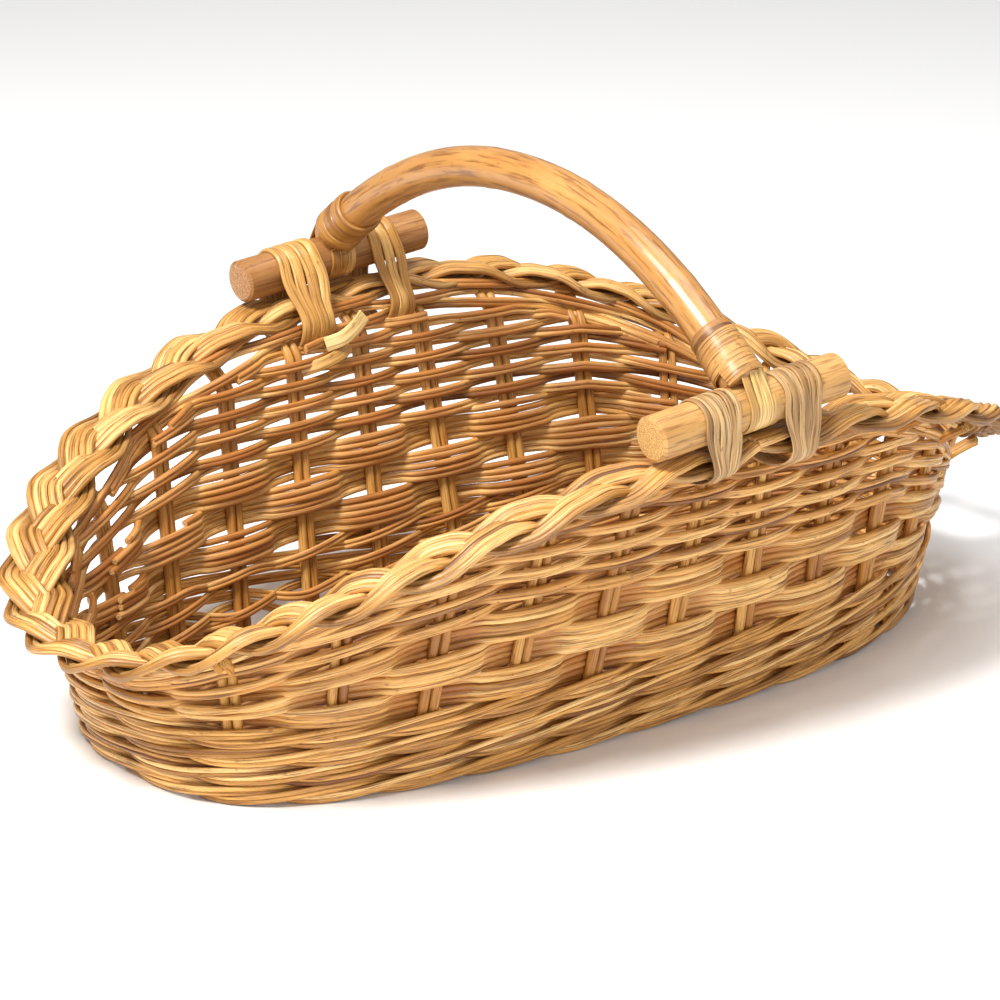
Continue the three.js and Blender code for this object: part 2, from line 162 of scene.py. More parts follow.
# Lashings go round a dowel and the border, between two distances from the dowel's middle. grip is
# how deep they reach, and converge how much their strips draw together there.
FRONT_LEFT_LASHING = {"from_x": -27.5, "to_x": -9.5, "strips": 6, "converge": 0.4,
                      "thickness": 0.9, "grip": 2, "seed": 123}
FRONT_RIGHT_LASHING = {"from_x": 11.5, "to_x": 31, "strips": 6, "converge": 0.4,
                       "thickness": 0.9, "grip": 5, "seed": 161}
BACK_LEFT_LASHING = {"from_x": -33, "to_x": -10.5, "strips": 4, "converge": 0.3,
                     "thickness": 1.8, "grip": 11, "seed": 217}
BACK_RIGHT_LASHING = {"from_x": 14, "to_x": 30, "strips": 3, "converge": 0.3,
                      "thickness": 1.8, "grip": 11, "seed": 264}
LASHING_HALF_DEPTH = 15.6         # from the border's outside to its inside
LASHING_HALF_HEIGHT = 6.0
LASHING_INSET = 3                 # its middle lies this far inside the border's
LASHING_STEPS = 110

BACK_TAIL_UPPER = ((-32, 108, 112), (-25, 105, 114), (-18, 105, 118), (-12, 108, 121))
BACK_TAIL_LOWER = ((-45, 108, 103), (-36, 105, 105), (-27, 105, 107), (-20, 108, 109))
TAIL_THICKNESS = 1.2

# Cane wound round the handle's feet. first and last are shares of the way from the handle's
# middle to its foot, and start is an angle.
FRONT_FOOT_BANDS = (
    {"first": 0.862, "last": 0.885, "turns": 2.05, "start": 0.3, "width": 3.4, "lift": 0.5},
    {"first": 0.9, "last": 0.985, "turns": 2.3, "start": 1.0, "width": 8.0, "lift": 1.1},
)
FRONT_FOOT_THICKNESS = 0.8
BACK_FOOT_BANDS = (
    {"first": 0.855, "last": 0.985, "turns": 3.2, "start": 0.3, "width": 7.0, "lift": 0.9},
)
BACK_FOOT_THICKNESS = 2.0

# Strips that hold the handle's feet down, at these distances along the dowel.
FRONT_LOOP_PLACES = (-3.2, 0.6, 4.4, 8.2)
FRONT_LOOP_WIDTH = 3.7
BACK_LOOP_PLACES = (-3.6, 0.6, 4.8)
BACK_LOOP_WIDTH = 4.0
LOOP_THICKNESS = 0.7
LOOP_TOP_SHARE = 0.9              # of the way from the handle's middle to its foot
LOOP_FOOT_SHARE = 0.985
LOOP_TURN_START = math.radians(28)
LOOP_TURN_END = math.radians(-218)

STEPS_PER_STATION = 16
UP = np.array([0.0, 0.0, 1.0])
ALONG_BASKET = np.array([1.0, 0.0, 0.0])
FACING_FRONT = np.array([0.0, -1.0, 0.35])

# ---- camera, lights and floor, in metres ----

CAMERA_AZIMUTH = math.radians(-38.42)
CAMERA_ELEVATION = math.radians(19.43)
CAMERA_DISTANCE = 1.608
CAMERA_TARGET = Vector((-0.0302, -0.0144, 0.0774))
CAMERA_LENS = 144.65
SENSOR_WIDTH = 36

# Each light's name, azimuth and elevation in degrees, distance, size, watts and colour.
LIGHTS = (
    ("key_light", -80, 55, 1.7, 0.5, 40, (1.0, 0.985, 0.95)),
    ("top_light", 60, 78, 1.8, 1.2, 14, (1.0, 1.0, 1.0)),
    ("front_light", -20, 22, 2.2, 1.2, 12, (1.0, 0.99, 0.97)),
)
LIGHT_AIM = Vector((0, 0, 0.06))
WORLD_STRENGTH = 0.36
FLOOR_HALF_SIZE = 6.0
FLOOR_GREY = 0.93


def direction(azimuth, elevation):
    """From the object towards a place at that azimuth and elevation. Azimuth 0 is the -Y side."""
    level = math.cos(elevation)
    return Vector((math.sin(azimuth) * level, -math.cos(azimuth) * level, math.sin(elevation)))


def place_looking(thing, target, back, distance):
    """Puts a camera or light at a distance from a target, facing it."""
    thing.location = target + back * distance
    thing.rotation_mode = "QUATERNION"
    thing.rotation_quaternion = (-back).to_track_quat("-Z", "Y")
    bpy.context.collection.objects.link(thing)


def make_camera():
    data = bpy.data.cameras.new("camera")
    data.sensor_width = SENSOR_WIDTH
    data.lens = CAMERA_LENS
    data.clip_start = 0.05
    data.clip_end = 50
    camera = bpy.data.objects.new("camera", data)
    place_looking(camera, CAMERA_TARGET, direction(CAMERA_AZIMUTH, CAMERA_ELEVATION), CAMERA_DISTANCE)
    bpy.context.scene.camera = camera


def make_area_light(name, azimuth, elevation, distance, size, watts, colour):
    data = bpy.data.lights.new(name, "AREA")
    data.shape = "DISK"
    data.size = size
    data.energy = watts
    data.color = colour
    light = bpy.data.objects.new(name, data)
    back = direction(math.radians(azimuth), math.radians(elevation))
    place_looking(light, LIGHT_AIM, back, distance)


def make_studio():
    for light in LIGHTS:
        make_area_light(*light)
    world = bpy.data.worlds.new("studio")
    bpy.context.scene.world = world
    world.use_nodes = True
    background = world.node_tree.nodes["Background"]
    background.inputs["Color"].default_value = (1.0, 1.0, 1.0, 1.0)
    background.inputs["Strength"].default_value = WORLD_STRENGTH
    bpy.context.scene.view_settings.view_transform = "Standard"


def floor_material():
    material = bpy.data.materials.new("floor")
    material.use_nodes = True
    shader = material.node_tree.nodes["Principled BSDF"]
    shader.inputs["Base Color"].default_value = (FLOOR_GREY, FLOOR_GREY, FLOOR_GREY, 1.0)
    shader.inputs["Roughness"].default_value = 0.9
    shader.inputs["Specular IOR Level"].default_value = 0.1
    return material


def make_floor():
    half = FLOOR_HALF_SIZE
    mesh = bpy.data.meshes.new("floor")
    corners = [(-half, -half, 0), (half, -half, 0), (half, half, 0), (-half, half, 0)]
    mesh.from_pydata(corners, [], [(0, 1, 2, 3)])
    mesh.materials.append(floor_material())
    floor = bpy.data.objects.new("floor", mesh)
    bpy.context.collection.objects.link(floor)


# ---- the basket's surface ----


def signed_power(value, power):
    return np.sign(value) * np.abs(value) ** power


def oblong(outline, angle):
    """Points of a rounded oblong. Angle 0 is its +X end, and angles run anticlockwise."""
    towards_blunt = (1 - np.cos(angle)) / 2
    power = outline["pointed_power"] + (outline["blunt_power"] - outline["pointed_power"]) * towards_blunt
    length = np.where(np.cos(angle) < 0, outline["blunt_length"], outline["pointed_length"])
    x = length * signed_power(np.cos(angle), 2 / power)
    y = outline["half_width"] * signed_power(np.sin(angle), 2 / power)
    return np.stack([x, y], -1)


def rim_height_at(x):
    past = x - RIM_PEAK_X
    blunt = past < 0
    length = np.where(blunt, RIM["blunt_length"] + RIM_PEAK_X, RIM["pointed_length"] - RIM_PEAK_X)
    end = np.where(blunt, RIM_HEIGHT_BLUNT, RIM_HEIGHT_POINTED)
    fall = np.where(blunt, RIM_FALL_BLUNT, RIM_FALL_POINTED)
    return RIM_HEIGHT_PEAK + (end - RIM_HEIGHT_PEAK) * np.abs(past / length) ** fall


def rim_height(angle):
    return rim_height_at(oblong(RIM, angle)[..., 0])


def wall_height(angle):
    return rim_height(angle) - WALL_TOP_DROP


def wall_point(angle, z):
    """The wall leans straight from the base outline to the wall-top outline."""
    share = (z / wall_height(angle))[..., None]
    return oblong(BASE, angle) * (1 - share) + oblong(WALL_TOP, angle) * share


def level_outward(point_at, angle):
    """The level direction straight out of a curve, where point_at gives the curve's points."""
    step = 0.004
    along = unit(point_at(angle + step) - point_at(angle - step))
    return np.stack([along[..., 1], -along[..., 0]], -1)


def even_angles(point_at):
    """Turns shares of the way round into angles. Share 0 is the blunt end, and -Y comes first."""
    samples = 2880
    angles = np.linspace(-math.pi, math.pi, samples + 1)
    lengths = running_length(point_at(angles))

    def share_to_angle(share):
        whole = np.floor(share)
        inside = np.interp((share - whole) * lengths[-1], lengths, angles)
        return inside + 2 * math.pi * whole

    return share_to_angle


def station_angle(station):
    """Stake 0 stands half a space past the blunt end."""
    return wall_angle((station + 0.5) / STAKE_COUNT)


def slew_top(angle):
    room = wall_height(angle) - WALE_TOP
    return WALE_TOP + np.minimum(SLEW_HEIGHT, SLEW_SHARE * room)


def on_wall(station, z, offset):
    """Points at a height on the wall, that far outside its middle line."""
    angle = station_angle(station)
    flat = wall_point(angle, z)
    outward = level_outward(lambda a: wall_point(a, z), angle)
    flat = flat + outward * offset[..., None]
    return np.concatenate([flat, z[..., None]], -1)


# ---- paths and sections ----


def unit(vectors):
    return vectors / np.linalg.norm(vectors, axis=-1, keepdims=True)


def running_length(points):
    steps = np.linalg.norm(np.diff(points, axis=0), axis=1)
    return np.concatenate([[0], np.cumsum(steps)])


def smoothstep(value):
    value = np.clip(value, 0, 1)
    return value * value * (3 - 2 * value)


def sharper(wave, power):
    """A wave that stays longer near its extremes, the more so for a lower power."""
    return np.sign(wave) * np.abs(wave) ** power


def softened(path, passes):
    """A path with its corners rounded, between two ends that stay."""
    for _ in range(passes):
        path[1:-1] = (path[:-2] + 2 * path[1:-1] + path[2:]) / 4
    return path


def smooth_noise(rng, count, spacing, amount):
    """Random values that change smoothly over about that many points."""
    knots = int(count / spacing) + 3
    values = rng.normal(0, amount, knots)
    place = np.arange(count) / spacing
    left = place.astype(int)
    part = smoothstep(place - left)
    return values[left] * (1 - part) + values[left + 1] * part


def circle(radius, sides=10):
    turn = np.arange(sides) * 2 * math.pi / sides
    return np.stack([radius * np.cos(turn), radius * np.sin(turn)], -1)


def strip_section(width, thickness):
    """A flat cane strip with rounded edges and a slightly crowned top."""
    w = width / 2
    t = thickness / 2
    e = min(t, w) * 0.7
    return np.array([
        [w, 0], [w - 0.35 * e, 0.7 * t], [w - 1.2 * e, t], [w * 0.4, t * 1.15], [-w * 0.4, t * 1.15],
        [-w + 1.2 * e, t], [-w + 0.35 * e, 0.7 * t], [-w, 0],
        [-w + 0.35 * e, -0.7 * t], [-w + 1.2 * e, -t], [w - 1.2 * e, -t], [w - 0.35 * e, -0.7 * t],
    ])


wall_angle = even_angles(lambda a: wall_point(a, 0.4 * wall_height(a)))
rim_angle = even_angles(lambda a: oblong(RIM, a))


# ---- bundles of rods and strips ----


class Bundle:
    """Gathers swept rods and strips, and makes them one mesh object.

    Each point also carries what the materials read: its place in the rod's own fibre, the rod's
    tone, how shaded it is, and whether it is on a cut end.
    """

    def __init__(self, seed):
        self.rng = np.random.default_rng(seed)
        self.corners = []
        self.faces = []
        self.fibre = []
        self.tone = []
        self.shade = []
        self.cut = []
        self.total = 0

    def noise(self, count, spacing, amount):
        return smooth_noise(self.rng, count, spacing, amount)

    def rod(self, centres, section, up, shade=0.0):
        """A round rod whose thickness and tone vary a little along its length."""
        count = len(centres)
        size = 1 + self.noise(count, 14, 0.025) + self.noise(count, 60, 0.03)
        tone = np.clip(self.rng.uniform(0.1, 0.9) + self.noise(count, 110, 0.14), 0, 1)
        self.sweep(centres, section, up, size, tone, shade)

    def strip(self, centres, width, thickness, up, size=1.0):
        """A flat strip of cane whose tone varies a little along its length."""
        tone = np.clip(self.rng.uniform(0.1, 0.9) + self.noise(len(centres), 20, 0.12), 0, 1)
        self.sweep(centres, strip_section(width, thickness), up, size, tone)

    def sweep(self, centres, section, up, size, tone, shade=0.0):
        """A section carried along a path. up says where the section's second axis points."""
        count = len(centres)
        sides = len(section)
        size = np.broadcast_to(np.asarray(size, float), (count,))
        tone = np.broadcast_to(np.asarray(tone, float), (count,))
        shade = np.broadcast_to(np.asarray(shade, float), (count,))
        tangent = unit(np.gradient(centres, axis=0))
        across = unit(np.cross(tangent, np.broadcast_to(up, centres.shape)))
        lift = np.cross(across, tangent)
        spread = size[:, None, None] * section[None]
        rings = centres[:, None] + spread[..., :1] * across[:, None] + spread[..., 1:] * lift[:, None]
        length = np.broadcast_to(running_length(centres)[:, None, None], (count, sides, 1))
        # The rod starts at a random place in the grain. The fourth number keeps later draws in step.
        fibre_start = self.rng.uniform(0, 900, 4)[:3]
        fibre = (np.concatenate([length, spread], -1) + fibre_start) * MM
        here = np.arange(count - 1)[:, None] * sides + np.arange(sides)[None]
        beside = np.arange(count - 1)[:, None] * sides + (np.arange(sides)[None] + 1) % sides
        quads = np.stack([here, here + sides, beside + sides, beside], -1).reshape(-1, 4)
        self._add(rings.reshape(-1, 3), quads, fibre.reshape(-1, 3), np.repeat(tone, sides),
                  np.repeat(shade, sides), np.zeros(count * sides))
        self._cap(rings[0], -tangent[0], fibre[0], tone[0], shade[0], True)
        self._cap(rings[-1], tangent[-1], fibre[-1], tone[-1], shade[-1], False)

    def _cap(self, ring, outward, fibre, tone, shade, first):
        """A cut end: a small bevel and a slightly crowned face."""
        sides = len(ring)
        middle = ring.mean(0)
        reach = np.linalg.norm(ring - middle, axis=1).min()
        inner = middle + (ring - middle) * 0.86 + outward * reach * 0.1
        tip = middle + outward * reach * 0.16
        corners = np.concatenate([ring, inner, inner, tip[None]])
        here = np.arange(sides)
        beside = (here + 1) % sides
        tips = np.full(sides, 3 * sides)
        bevel = np.stack([here, beside, beside + sides, here + sides], -1)
        fan = np.stack([here + 2 * sides, beside + 2 * sides, tips, tips], -1)
        if not first:
            bevel = bevel[:, ::-1]
            fan = fan[:, [1, 0, 2, 3]]
        all_fibre = np.concatenate([fibre, fibre, fibre, fibre.mean(0)[None]])
        count = len(corners)
        cut = np.concatenate([np.zeros(2 * sides), np.ones(sides + 1)])
        self._add(corners, np.concatenate([bevel, fan]), all_fibre, np.full(count, tone),
                  np.full(count, shade), cut)

    def _add(self, corners, faces, fibre, tone, shade, cut):
        """Faces have four corners each, and a triangle gives its last corner twice."""
        self.corners.append(corners)
        self.faces.append(faces + self.total)
        self.fibre.append(fibre)
        self.tone.append(tone)
        self.shade.append(shade)
        self.cut.append(cut)
        self.total += len(corners)

    def _mesh(self, name):
        corners = (np.concatenate(self.corners) + [ORIGIN_SHIFT, 0, 0]) * MM
        faces = np.concatenate(self.faces)
        is_triangle = faces[:, 2] == faces[:, 3]
        totals = np.where(is_triangle, 3, 4)
        keep = np.ones(faces.shape, bool)
        keep[is_triangle, 3] = False
        starts = np.concatenate([[0], np.cumsum(totals)[:-1]])
        mesh = bpy.data.meshes.new(name)
        mesh.vertices.add(len(corners))
        mesh.vertices.foreach_set("co", corners.astype(np.float32).ravel())
        mesh.loops.add(int(totals.sum()))
        mesh.loops.foreach_set("vertex_index", faces[keep].astype(np.int32))
        mesh.polygons.add(len(faces))
        mesh.polygons.foreach_set("loop_start", starts.astype(np.int32))
        mesh.polygons.foreach_set("use_smooth", np.ones(len(faces), bool))
        fibre = mesh.attributes.new("fibre", "FLOAT_VECTOR", "POINT")
        fibre.data.foreach_set("vector", np.concatenate(self.fibre).astype(np.float32).ravel())
        for label, values in (("tone", self.tone), ("shade", self.shade), ("cut", self.cut)):
            attribute = mesh.attributes.new(label, "FLOAT", "POINT")
            attribute.data.foreach_set("value", np.concatenate(values).astype(np.float32))
        mesh.update(calc_edges=True)
        mesh.validate()
        return mesh

    def make(self, name, material, nodes):
        """Makes the piece, which stands for the CAD nodes of those names."""
        mesh = self._mesh(name)
        mesh.materials.append(material)
        piece = bpy.data.objects.new(name, mesh)
        bpy.context.collection.objects.link(piece)
        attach(piece, "root")
        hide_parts(*nodes)


# ---- materials ----

# How often the noises repeat in a metre, along the fibre and in the two directions across it.
STREAK_ALONG = 14
STREAK_ACROSS = 620
FINE_STREAK_ALONG = 50
FINE_STREAK_ACROSS = 1800
PATCH_SCALE = (22, 60, 60)
SPOT_SCALE = (260, 420, 420)
PITH_SCALE = (1, 2200, 2200)

BUMP_STRENGTH = 0.5
BUMP_DISTANCE = 0.35 * MM
COAT_ROUGHNESS = 0.3

# What a rod's colour becomes where it is shaded, as red, green and blue up to 255.
SHADOW = (66, 30, 8)
AMBER = (168, 98, 38)


def srgb(red, green, blue):
    def linear(value):
        value /= 255
        return value / 12.92 if value <= 0.04045 else ((value + 0.055) / 1.055) ** 2.4
    return (linear(red), linear(green), linear(blue), 1.0)


class Nodes:
    """Short calls for building a material's node tree."""

    def __init__(self, name):
        self.material = bpy.data.materials.new(name)
        self.material.use_nodes = True
        self.tree = self.material.node_tree
        self.shader = self.tree.nodes["Principled BSDF"]

    def feed(self, socket, value):
        """Sets a socket to a constant, or links an output to it."""
        if isinstance(value, (int, float, tuple)):
            socket.default_value = value
        else:
            self.tree.links.new(value, socket)

    def node(self, kind, inputs, **settings):
        made = self.tree.nodes.new(kind)
        for key, value in settings.items():
            setattr(made, key, value)
        for socket, value in inputs.items():
            self.feed(made.inputs[socket], value)
        return made

    def attribute(self, name, output):
        return self.node("ShaderNodeAttribute", {}, attribute_name=name).outputs[output]

    def noise(self, vector, scale, detail, roughness=0.55, distortion=0.0):
        """Noise that repeats scale times in a metre, in each of the vector's directions."""
        mapping = self.node("ShaderNodeMapping", {"Scale": scale, "Vector": vector})
        noise = self.node("ShaderNodeTexNoise", {
            "Scale": 1.0, "Detail": detail, "Roughness": roughness, "Distortion": distortion,
            "Vector": mapping.outputs["Vector"]})
        return noise.outputs["Fac"]

    def ramp(self, value, stops):
        ramp = self.node("ShaderNodeValToRGB", {"Fac": value})
        elements = ramp.color_ramp.elements
        while len(elements) < len(stops):
            elements.new(0.5)
        for element, (place, colour) in zip(elements, stops):
            element.position = place
            element.color = colour
        return ramp.outputs["Color"]

    def remap(self, value, low, high, to_low, to_high):
        remap = self.node("ShaderNodeMapRange", {
            "From Min": low, "From Max": high, "To Min": to_low, "To Max": to_high, "Value": value})
        return remap.outputs["Result"]

    def math(self, operation, a, b):
        return self.node("ShaderNodeMath", {0: a, 1: b}, operation=operation).outputs[0]

    def mix(self, amount, a, b):
        return self.node("ShaderNodeMix", {0: amount, 6: a, 7: b}, data_type="RGBA").outputs[2]

    def bump(self, height, strength, distance):
        bump = self.node("ShaderNodeBump", {"Strength": strength, "Distance": distance, "Height": height})
        return bump.outputs["Normal"]


def wicker_material(name, pale, middle, deep, shaded, roughness=0.42, streaks=0.55, coat=0.12, fine=1.0):
    """Varnished rod or cane: colour streaks along the fibre, and each rod in its own tone.

    A lower fine makes the grain coarser, as on thick wood.
    """
    pale, middle, deep, shaded = (srgb(*colour) for colour in (pale, middle, deep, shaded))
    n = Nodes(name)
    fibre = n.attribute("fibre", "Vector")
    streak_across = STREAK_ACROSS * fine
    fine_across = FINE_STREAK_ACROSS * fine
    streak = n.noise(fibre, (STREAK_ALONG, streak_across, streak_across), 4.0, 0.6)
    fine_streak = n.noise(fibre, (FINE_STREAK_ALONG, fine_across, fine_across), 3.0, 0.6)
    patch = n.noise(fibre, PATCH_SCALE, 3.0, 0.6, 0.4)
    spots = n.noise(fibre, SPOT_SCALE, 2.0, 0.5)
    pith = n.noise(fibre, PITH_SCALE, 2.0)

    rod_tone = n.math("MULTIPLY", n.attribute("tone", "Fac"), 0.6)
    level = n.math("ADD", rod_tone, n.math("MULTIPLY", patch, 0.6))
    level = n.math("ADD", level, n.math("MULTIPLY", streak, streaks))
    level = n.math("SUBTRACT", level, 0.5 * streaks + 0.1)
    colour = n.ramp(level, [(0.12, deep), (0.46, middle), (0.84, pale)])
    dark_lines = n.math("MULTIPLY", n.remap(fine_streak, 0.36, 0.5, 1.0, 0.0), 0.85)
    colour = n.mix(dark_lines, colour, deep)
    colour = n.mix(n.remap(spots, 0.66, 0.74, 0.0, 0.5), colour, deep)
    # Painted shade: mixed towards the shaded colour as far as the point's shade says.
    colour = n.mix(n.attribute("shade", "Fac"), colour, shaded)
    cut_end = n.ramp(pith, [(0.35, deep), (0.6, pale)])
    colour = n.mix(n.attribute("cut", "Fac"), colour, cut_end)
    n.feed(n.shader.inputs["Base Color"], colour)

    worn = n.remap(patch, 0.3, 0.7, roughness - 0.07, roughness + 0.09)
    n.feed(n.shader.inputs["Roughness"], n.math("ADD", worn, n.math("MULTIPLY", fine_streak, 0.1)))
    n.feed(n.shader.inputs["Coat Weight"], coat)
    n.feed(n.shader.inputs["Coat Roughness"], COAT_ROUGHNESS)
    relief = n.math("ADD", n.math("MULTIPLY", streak, 0.6), n.math("MULTIPLY", fine_streak, 0.5))
    n.feed(n.shader.inputs["Normal"], n.bump(relief, BUMP_STRENGTH, BUMP_DISTANCE))
    return n.material


def wale_wicker():
    return wicker_material("wale_wicker", (252, 212, 144), (226, 168, 86), (116, 64, 18), AMBER)


def slew_wicker():
    return wicker_material("slew_wicker", (246, 204, 134), (216, 158, 80), (108, 60, 18), AMBER)


def rand_wicker():
    return wicker_material("rand_wicker", (240, 194, 122), (206, 146, 70), (100, 54, 16), AMBER)


def stake_wicker():
    return wicker_material("stake_wicker", (230, 180, 100), (198, 138, 58), (134, 76, 24), SHADOW)


def base_wicker():
    return wicker_material("base_wicker", (196, 140, 70), (152, 96, 38), (96, 50, 16), SHADOW)


def border_wicker():
    return wicker_material(
        "border_wicker", (238, 190, 120), (202, 146, 72), (100, 58, 16), (76, 38, 10),
        roughness=0.4, streaks=0.7)


def front_dowel_wood():
    return wicker_material(
        "front_dowel_wood", (218, 174, 108), (196, 148, 86), (142, 96, 46), (104, 60, 24),
        roughness=0.5, streaks=0.4, coat=0.05, fine=0.5)


def back_dowel_wood():
    return wicker_material(
        "back_dowel_wood", (190, 140, 84), (160, 110, 60), (122, 74, 34), (80, 42, 16),
        roughness=0.42, streaks=0.5, coat=0.1, fine=0.5)


def handle_pole_skin():
    return wicker_material(
        "handle_pole_skin", (210, 158, 90), (180, 124, 60), (126, 76, 30), (80, 42, 14),
        roughness=0.27, streaks=0.4, coat=0.5, fine=0.35)


def grey_cane():
    return wicker_material(
        "grey_cane", (212, 176, 124), (176, 136, 86), (96, 62, 32), (60, 34, 14), coat=0.05)


def pale_cane():
    return wicker_material(
        "pale_cane", (238, 208, 142), (214, 174, 106), (150, 102, 46), (96, 56, 20), coat=0.1)


def orange_cane():
    return wicker_material(
        "orange_cane", (200, 148, 82), (166, 114, 54), (100, 58, 20), (70, 36, 12), coat=0.2)


def gold_cane():
    return wicker_material(
        "gold_cane", (226, 178, 104), (188, 134, 62), (126, 76, 28), (80, 42, 14),
        roughness=0.34, coat=0.3)


# ---- the woven wall ----


def inner_shade(offset, reach):
    """Painted shade where a rod passes behind the stakes: deeper in colour the further in it lies."""
    return 0.6 * smoothstep((0.2 - offset / reach) / 1.2)


def present_runs(present):
    """The (start, end) ranges of a true/false row, as a list."""
    edges = np.flatnonzero(np.diff(np.concatenate([[0], present.astype(int), [0]])))
    return list(zip(edges[::2], edges[1::2]))


def tucked(first, last, wave):
    """A run made longer at both ends, until each end is hidden inside the wall."""
    before = np.flatnonzero(wave[:first + 1] < -0.9)
    after = np.flatnonzero(wave[last - 1:] < -0.9)
    start = before[-1] if len(before) else 0
    return start, (last + after[0] if len(after) else len(wave))


def wale_weave(travelled):
    """How far out of the wall a strand is, and how far above its row."""
    phase = np.mod(travelled, WALE_STRANDS)
    from_inside = np.minimum(phase, WALE_STRANDS - phase)
    swing = -WALE_REACH * sharper(np.cos(math.pi * np.minimum(from_inside, 1)), 0.8)
    bulge = WALE_BULGE * np.sin(math.pi * np.maximum(from_inside - 1, 0))
    sine_where_a_float_starts = 0.866
    peak = -WALE_RISE / sine_where_a_float_starts
    return swing + bulge, peak * np.sin(2 * math.pi * phase / WALE_STRANDS)


def make_wale(material):
    """One long spiral of three strands, which steps up a row just before it comes round."""
    bundle = Bundle(11)
    pitch = (WALE_TOP - WALE_BOTTOM) / WALE_ROWS
    count = WALE_ROWS * STAKE_COUNT * STEPS_PER_STATION + 1
    travelled = np.arange(count) / STEPS_PER_STATION
    row = np.floor(travelled / STAKE_COUNT)
    step_up = smoothstep(travelled - STAKE_COUNT * (row + 1) + 1)
    level = np.minimum(row + step_up, WALE_ROWS - 1)
    out, rise = wale_weave(travelled)
    for strand in range(WALE_STRANDS):
        wander = bundle.noise(count, 26, 0.16)
        station = WALE_START + strand + travelled
        for side in (-1, 1):
            offset = out + bundle.noise(count, 12, 0.12)
            z = WALE_BOTTOM + pitch * (level + 0.5) + rise + wander + side * WALE_SPACING / 2
            z += bundle.noise(count, 18, 0.07)
            z = np.maximum(z, WALE_RADIUS * 1.1 + WALE_FLOOR_GAP)
            centres = on_wall(station, z, offset)
            bundle.rod(centres, circle(WALE_RADIUS), UP, inner_shade(offset, WALE_REACH))
    bundle.make("wale", material, ["wale_outer_lower", "wale_outer_upper", "wale_inner"])


def make_slew(course, material):
    """Rods side by side, in and out of the stakes. The top ones are left out where the wall is low."""
    bundle = Bundle(20 + course)
    rng = bundle.rng
    count = int((STAKE_COUNT + SLEW_OVERLAP) * STEPS_PER_STATION)
    travelled = np.arange(count) / STEPS_PER_STATION
    station = SLEW_STARTS[course] + travelled
    angle = station_angle(station)
    height = (slew_top(angle) - WALE_TOP) / SLEW_COURSES
    low = WALE_TOP + course * height
    full_height = SLEW_HEIGHT / SLEW_COURSES
    middle = 0.5 * np.minimum(height, full_height)
    wave = sharper(np.cos(math.pi * (station + course)), 0.6)
    spread = 1.04 - 0.06 * wave
    joint = smoothstep((travelled - STAKE_COUNT + 0.7) / 0.6)
    for rod in range(SLEW_RODS):
        place = full_height / SLEW_RODS * (rod + 0.5)
        level = np.minimum(middle + (place - middle) * spread, height - 0.4)
        z = low + level + bundle.noise(count, 22, 0.24)
        lean = (rod / (SLEW_RODS - 1) - 0.5) * 2
        offset = wave * (SLEW_REACH + SLEW_BULGE * (1 - lean * lean)) + bundle.noise(count, 16, 0.22)
        offset = offset - SLEW_TUCK * joint
        for first, last in present_runs(place < height - 0.2):
            if last - first < count:
                first, last = tucked(first, last, wave)
            if last - first < STEPS_PER_STATION:
                continue
            run = slice(first + int(rng.integers(0, 3)), last - int(rng.integers(0, 3)))
            centres = on_wall(station[run], z[run], offset[run])
            bundle.rod(centres, circle(SLEW_RADIUS), UP, inner_shade(offset[run], SLEW_REACH))
    bundle.make(f"slew_{course + 1}", material, [f"slew_course_{course + 1}"])


def add_rand_row(bundle, station, middle, wave, lean=0.0):
    """A row of two rods in and out of the stakes, leaning out of the wall by a distance."""
    count = len(station)
    for side in (-1, 1):
        z = middle + side * RAND_SPACING / 2 + bundle.noise(count, 16, 0.08)
        offset = RAND_REACH * wave + bundle.noise(count, 14, 0.2)
        centres = on_wall(station, z, offset + lean)
        bundle.rod(centres, circle(RAND_RADIUS), UP, inner_shade(offset, RAND_REACH))


def add_level_rows(bundle, travelled):
    """Rows on top of the slew. Each is there only where the wall is high enough for it."""
    count = len(travelled)
    for row in range(RAND_ROWS):
        station = RAND_START - row % 2 + bundle.rng.uniform(-0.1, 0.1) + travelled
        angle = station_angle(station)
        wave = sharper(np.cos(math.pi * (station + row + 1)), 0.75)
        middle = slew_top(angle) + RAND_PITCH * (row + 0.5) + bundle.noise(count, 26, 0.22)
        top = wall_height(angle) - RAND_TOP_GAP
        for first, last in present_runs(middle < top):
            if last - first < STEPS_PER_STATION:
                continue
            if last - first < count:
                first, last = tucked(first, last, wave)
            run = slice(first, last)
            add_rand_row(bundle, station[run], np.minimum(middle, top)[run], wave[run])


def add_rim_rows(bundle, travelled):
    """Rows that follow the wall's top, up to the pointed end, where they sink into the wall."""
    count = len(travelled)
    station = RIM_ROW_START + travelled
    angle = station_angle(station)
    fade = 1 - smoothstep((oblong(WALL_TOP, angle)[:, 0] - RIM_ROW_END_X) / RIM_ROW_FADE)
    for row, rise in enumerate(RIM_ROW_RISES):
        wave = sharper(np.cos(math.pi * (station + row)), 0.75)
        middle = wall_height(angle) + rise * fade + bundle.noise(count, 26, 0.25) - 3 * (1 - fade)
        add_rand_row(bundle, station, middle, wave * fade, 0.9 * max(rise, 1) * fade)


def add_loose_ends(bundle):
    """Rows that stop outside the wall near the pointed end, with their butts showing."""
    rng = bundle.rng
    count = 24
    along = np.linspace(0, 1, count)
    for height in LOOSE_END_HEIGHTS:
        station = LOOSE_END_STATION + rng.uniform(-0.05, 0.05) - LOOSE_END_STATIONS * (1 - along)
        z = height + rng.uniform(-0.5, 0.5) - 1.5 * along
        offset = 1.5 + LOOSE_END_OUT * smoothstep(along) + rng.uniform(-1.0, 1.0) * along
        for side in (-1, 1):
            centres = on_wall(station, z + side * RAND_SPACING / 2, offset)
            bundle.rod(centres, circle(RAND_RADIUS), UP)


